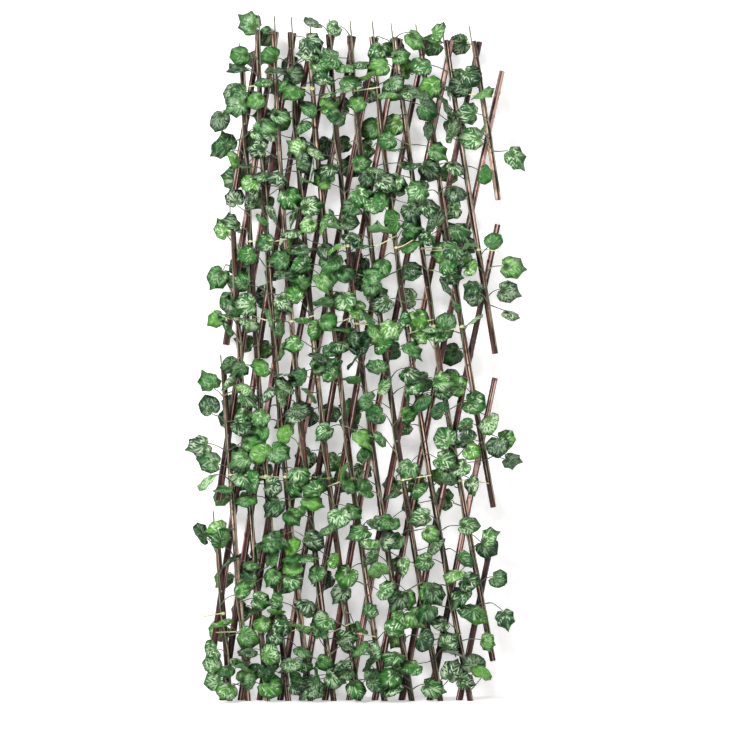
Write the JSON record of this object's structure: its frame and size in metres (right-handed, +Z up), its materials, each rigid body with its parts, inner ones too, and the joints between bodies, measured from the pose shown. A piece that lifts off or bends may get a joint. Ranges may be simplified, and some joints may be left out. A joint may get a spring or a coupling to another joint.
{
  "type": "artificial ivy screen",
  "caption": "Expanding lattice of pinned willow sticks with artificial ivy garlands tied along the front sticks.",
  "frame": {"origin": "middle of the level-cut foot of the middle back stick, on the ground", "axes": "+Z up along the screen's height, +Y out of its back towards the wall or fence behind it, +X to the right seen from the front"},
  "size_m": [0.6086, 0.1077, 1.2303],
  "materials": {
    "back_stick": "rough reddish brown willow bark",
    "front_stick": "rough grey-brown willow bark",
    "pin": "dull wire",
    "ivy": "soft sheen, variegated with pale streaks",
    "tie": "matt pale yellow-green"
  },
  "bodies": {
    "pivot_pin": {"pivot_pin": "pin"},
    "back_stick_00": {"back_stick_00": "back_stick"},
    "back_stick_01": {"back_stick_01": "back_stick"},
    "back_stick_02": {"back_stick_02": "back_stick"},
    "back_stick_03": {"back_stick_03": "back_stick"},
    "back_stick_04": {"back_stick_04": "back_stick"},
    "back_stick_05": {"back_stick_05": "back_stick"},
    "back_stick_06": {"back_stick_06": "back_stick"},
    "back_stick_07": {"back_stick_07": "back_stick"},
    "back_stick_08": {"back_stick_08": "back_stick"},
    "back_stick_09": {"back_stick_09": "back_stick"},
    "back_stick_10": {"back_stick_10": "back_stick"},
    "back_stick_11": {"back_stick_11": "back_stick"},
    "back_stick_12": {"back_stick_12": "back_stick"},
    "back_stick_13": {"back_stick_13": "back_stick"},
    "back_stick_14": {"back_stick_14": "back_stick"},
    "front_stick_00": {"front_stick_00": "front_stick", "ivy_00": "ivy"},
    "front_stick_01": {"front_stick_01": "front_stick", "ivy_01": "ivy", "cable_tie_01": "tie"},
    "front_stick_02": {"front_stick_02": "front_stick", "ivy_02": "ivy", "cable_tie_02": "tie"},
    "front_stick_03": {"front_stick_03": "front_stick", "ivy_03": "ivy", "cable_tie_03": "tie"},
    "front_stick_04": {"front_stick_04": "front_stick", "ivy_04": "ivy", "cable_tie_04": "tie"},
    "front_stick_05": {"front_stick_05": "front_stick", "ivy_05": "ivy", "cable_tie_05": "tie"},
    "front_stick_06": {"front_stick_06": "front_stick", "ivy_06": "ivy", "cable_tie_06": "tie"},
    "front_stick_07": {"front_stick_07": "front_stick", "ivy_07": "ivy", "cable_tie_07": "tie"},
    "front_stick_08": {"front_stick_08": "front_stick", "ivy_08": "ivy", "cable_tie_08": "tie"},
    "front_stick_09": {"front_stick_09": "front_stick", "ivy_09": "ivy", "cable_tie_09": "tie"},
    "front_stick_10": {"front_stick_10": "front_stick", "ivy_10": "ivy", "cable_tie_10": "tie"},
    "front_stick_11": {"front_stick_11": "front_stick", "ivy_11": "ivy", "cable_tie_11": "tie"},
    "front_stick_12": {"front_stick_12": "front_stick", "ivy_12": "ivy", "cable_tie_12": "tie"},
    "front_stick_13": {"front_stick_13": "front_stick", "ivy_13": "ivy", "cable_tie_13": "tie"},
    "front_stick_14": {"front_stick_14": "front_stick", "ivy_14": "ivy", "cable_tie_14": "tie"}
  },
  "joints": [
    {"name": "screen_opens", "type": "hinge", "parent": "pivot_pin", "child": "back_stick_09", "pos_m": [0.00902, 0, 0.052], "axis": [0, 1, 0], "range_deg": [-3, 38]},
    {"name": "front_stick_05_turns", "type": "hinge", "parent": "pivot_pin", "child": "front_stick_05", "pos_m": [0.00902, 0, 0.052], "axis": [0, 1, 0], "range_deg": [-38, 3], "deforming": ["ivy_05"]},
    {"name": "front_stick_06_turns", "type": "hinge", "parent": "back_stick_09", "child": "front_stick_06", "pos_m": [0.03293, 0, 0.18994], "axis": [0, 1, 0], "range_deg": [-76, 6], "deforming": ["ivy_06"]},
    {"name": "front_stick_07_turns", "type": "hinge", "parent": "back_stick_09", "child": "front_stick_07", "pos_m": [0.05758, 0, 0.32775], "axis": [0, 1, 0], "range_deg": [-76, 6], "deforming": ["ivy_07"]},
    {"name": "front_stick_08_turns", "type": "hinge", "parent": "back_stick_09", "child": "front_stick_08", "pos_m": [0.08298, 0, 0.46543], "axis": [0, 1, 0], "range_deg": [-76, 6], "deforming": ["ivy_08"]},
    {"name": "front_stick_09_turns", "type": "hinge", "parent": "back_stick_09", "child": "front_stick_09", "pos_m": [0.10911, 0, 0.60297], "axis": [0, 1, 0], "range_deg": [-76, 6], "deforming": ["ivy_09"]},
    {"name": "front_stick_10_turns", "type": "hinge", "parent": "back_stick_09", "child": "front_stick_10", "pos_m": [0.13598, 0, 0.74037], "axis": [0, 1, 0], "range_deg": [-76, 6], "deforming": ["ivy_10"]},
    {"name": "front_stick_11_turns", "type": "hinge", "parent": "back_stick_09", "child": "front_stick_11", "pos_m": [0.16358, 0, 0.87762], "axis": [0, 1, 0], "range_deg": [-76, 6], "deforming": ["ivy_11"]},
    {"name": "front_stick_12_turns", "type": "hinge", "parent": "back_stick_09", "child": "front_stick_12", "pos_m": [0.19192, 0, 1.01472], "axis": [0, 1, 0], "range_deg": [-76, 6], "deforming": ["ivy_12"]},
    {"name": "front_stick_13_turns", "type": "hinge", "parent": "back_stick_09", "child": "front_stick_13", "pos_m": [0.22099, 0, 1.15167], "axis": [0, 1, 0], "range_deg": [-76, 6], "deforming": ["ivy_13"]},
    {"name": "back_stick_08_turns", "type": "hinge", "parent": "front_stick_05", "child": "back_stick_08", "pos_m": [-0.00915, 0, 0.19082], "axis": [0, 1, 0], "range_deg": [-6, 76]},
    {"name": "back_stick_07_turns", "type": "hinge", "parent": "front_stick_05", "child": "back_stick_07", "pos_m": [-0.02573, 0, 0.32983], "axis": [0, 1, 0], "range_deg": [-6, 76]},
    {"name": "back_stick_06_turns", "type": "hinge", "parent": "front_stick_05", "child": "back_stick_06", "pos_m": [-0.04071, 0, 0.46903], "axis": [0, 1, 0], "range_deg": [-6, 76]},
    {"name": "back_stick_05_turns", "type": "hinge", "parent": "front_stick_05", "child": "back_stick_05", "pos_m": [-0.0541, 0, 0.60839], "axis": [0, 1, 0], "range_deg": [-6, 76]},
    {"name": "back_stick_04_turns", "type": "hinge", "parent": "front_stick_05", "child": "back_stick_04", "pos_m": [-0.06588, 0, 0.74789], "axis": [0, 1, 0], "range_deg": [-6, 76]},
    {"name": "back_stick_03_turns", "type": "hinge", "parent": "front_stick_05", "child": "back_stick_03", "pos_m": [-0.07606, 0, 0.88752], "axis": [0, 1, 0], "range_deg": [-6, 76]},
    {"name": "back_stick_02_turns", "type": "hinge", "parent": "front_stick_05", "child": "back_stick_02", "pos_m": [-0.08465, 0, 1.02726], "axis": [0, 1, 0], "range_deg": [-6, 76]},
    {"name": "back_stick_01_turns", "type": "hinge", "parent": "front_stick_05", "child": "back_stick_01", "pos_m": [-0.09162, 0, 1.16708], "axis": [0, 1, 0], "range_deg": [-6, 76]},
    {"name": "back_stick_10_turns", "type": "hinge", "parent": "front_stick_06", "child": "back_stick_10", "pos_m": [0.05269, 0, 0.05134], "axis": [0, 1, 0], "range_deg": [-6, 76]},
    {"name": "back_stick_11_turns", "type": "hinge", "parent": "front_stick_07", "child": "back_stick_11", "pos_m": [0.0987, 0, 0.05079], "axis": [0, 1, 0], "range_deg": [-6, 76]},
    {"name": "back_stick_12_turns", "type": "hinge", "parent": "front_stick_08", "child": "back_stick_12", "pos_m": [0.14702, 0, 0.05036], "axis": [0, 1, 0], "range_deg": [-6, 76]},
    {"name": "back_stick_13_turns", "type": "hinge", "parent": "front_stick_09", "child": "back_stick_13", "pos_m": [0.19767, 0, 0.05007], "axis": [0, 1, 0], "range_deg": [-6, 76]},
    {"name": "back_stick_14_turns", "type": "hinge", "parent": "front_stick_10", "child": "back_stick_14", "pos_m": [0.25063, 0, 0.04992], "axis": [0, 1, 0], "range_deg": [-6, 76]},
    {"name": "front_stick_04_turns", "type": "hinge", "parent": "back_stick_08", "child": "front_stick_04", "pos_m": [-0.03233, 0, 0.05275], "axis": [0, 1, 0], "range_deg": [-76, 6], "deforming": ["ivy_04"]},
    {"name": "front_stick_03_turns", "type": "hinge", "parent": "back_stick_07", "child": "front_stick_03", "pos_m": [-0.07134, 0, 0.05357], "axis": [0, 1, 0], "range_deg": [-76, 6], "deforming": ["ivy_03"]},
    {"name": "front_stick_02_turns", "type": "hinge", "parent": "back_stick_06", "child": "front_stick_02", "pos_m": [-0.10802, 0, 0.05446], "axis": [0, 1, 0], "range_deg": [-76, 6], "deforming": ["ivy_02"]},
    {"name": "front_stick_01_turns", "type": "hinge", "parent": "back_stick_05", "child": "front_stick_01", "pos_m": [-0.14235, 0, 0.05539], "axis": [0, 1, 0], "range_deg": [-76, 6], "deforming": ["ivy_01"]},
    {"name": "front_stick_00_turns", "type": "hinge", "parent": "back_stick_04", "child": "front_stick_00", "pos_m": [-0.17435, 0, 0.05636], "axis": [0, 1, 0], "range_deg": [-76, 6], "deforming": ["ivy_00"]},
    {"name": "back_stick_00_turns", "type": "hinge", "parent": "front_stick_04", "child": "back_stick_00", "pos_m": [-0.12017, 0, 1.16891], "axis": [0, 1, 0], "range_deg": [-6, 76]},
    {"name": "front_stick_14_turns", "type": "hinge", "parent": "back_stick_10", "child": "front_stick_14", "pos_m": [0.27056, 0, 1.14986], "axis": [0, 1, 0], "range_deg": [-76, 6], "deforming": ["ivy_14"]}
  ],
  "couplings": [
    {"joint": "front_stick_05_turns", "follows": "screen_opens", "ratio": -1},
    {"joint": "front_stick_06_turns", "follows": "screen_opens", "ratio": -2},
    {"joint": "front_stick_07_turns", "follows": "screen_opens", "ratio": -2},
    {"joint": "front_stick_08_turns", "follows": "screen_opens", "ratio": -2},
    {"joint": "front_stick_09_turns", "follows": "screen_opens", "ratio": -2},
    {"joint": "front_stick_10_turns", "follows": "screen_opens", "ratio": -2},
    {"joint": "front_stick_11_turns", "follows": "screen_opens", "ratio": -2},
    {"joint": "front_stick_12_turns", "follows": "screen_opens", "ratio": -2},
    {"joint": "front_stick_13_turns", "follows": "screen_opens", "ratio": -2},
    {"joint": "back_stick_08_turns", "follows": "screen_opens", "ratio": 2},
    {"joint": "back_stick_07_turns", "follows": "screen_opens", "ratio": 2},
    {"joint": "back_stick_06_turns", "follows": "screen_opens", "ratio": 2},
    {"joint": "back_stick_05_turns", "follows": "screen_opens", "ratio": 2},
    {"joint": "back_stick_04_turns", "follows": "screen_opens", "ratio": 2},
    {"joint": "back_stick_03_turns", "follows": "screen_opens", "ratio": 2},
    {"joint": "back_stick_02_turns", "follows": "screen_opens", "ratio": 2},
    {"joint": "back_stick_01_turns", "follows": "screen_opens", "ratio": 2},
    {"joint": "back_stick_10_turns", "follows": "screen_opens", "ratio": 2},
    {"joint": "back_stick_11_turns", "follows": "screen_opens", "ratio": 2},
    {"joint": "back_stick_12_turns", "follows": "screen_opens", "ratio": 2},
    {"joint": "back_stick_13_turns", "follows": "screen_opens", "ratio": 2},
    {"joint": "back_stick_14_turns", "follows": "screen_opens", "ratio": 2},
    {"joint": "front_stick_04_turns", "follows": "screen_opens", "ratio": -2},
    {"joint": "front_stick_03_turns", "follows": "screen_opens", "ratio": -2},
    {"joint": "front_stick_02_turns", "follows": "screen_opens", "ratio": -2},
    {"joint": "front_stick_01_turns", "follows": "screen_opens", "ratio": -2},
    {"joint": "front_stick_00_turns", "follows": "screen_opens", "ratio": -2},
    {"joint": "back_stick_00_turns", "follows": "screen_opens", "ratio": 2},
    {"joint": "front_stick_14_turns", "follows": "screen_opens", "ratio": -2}
  ]
}
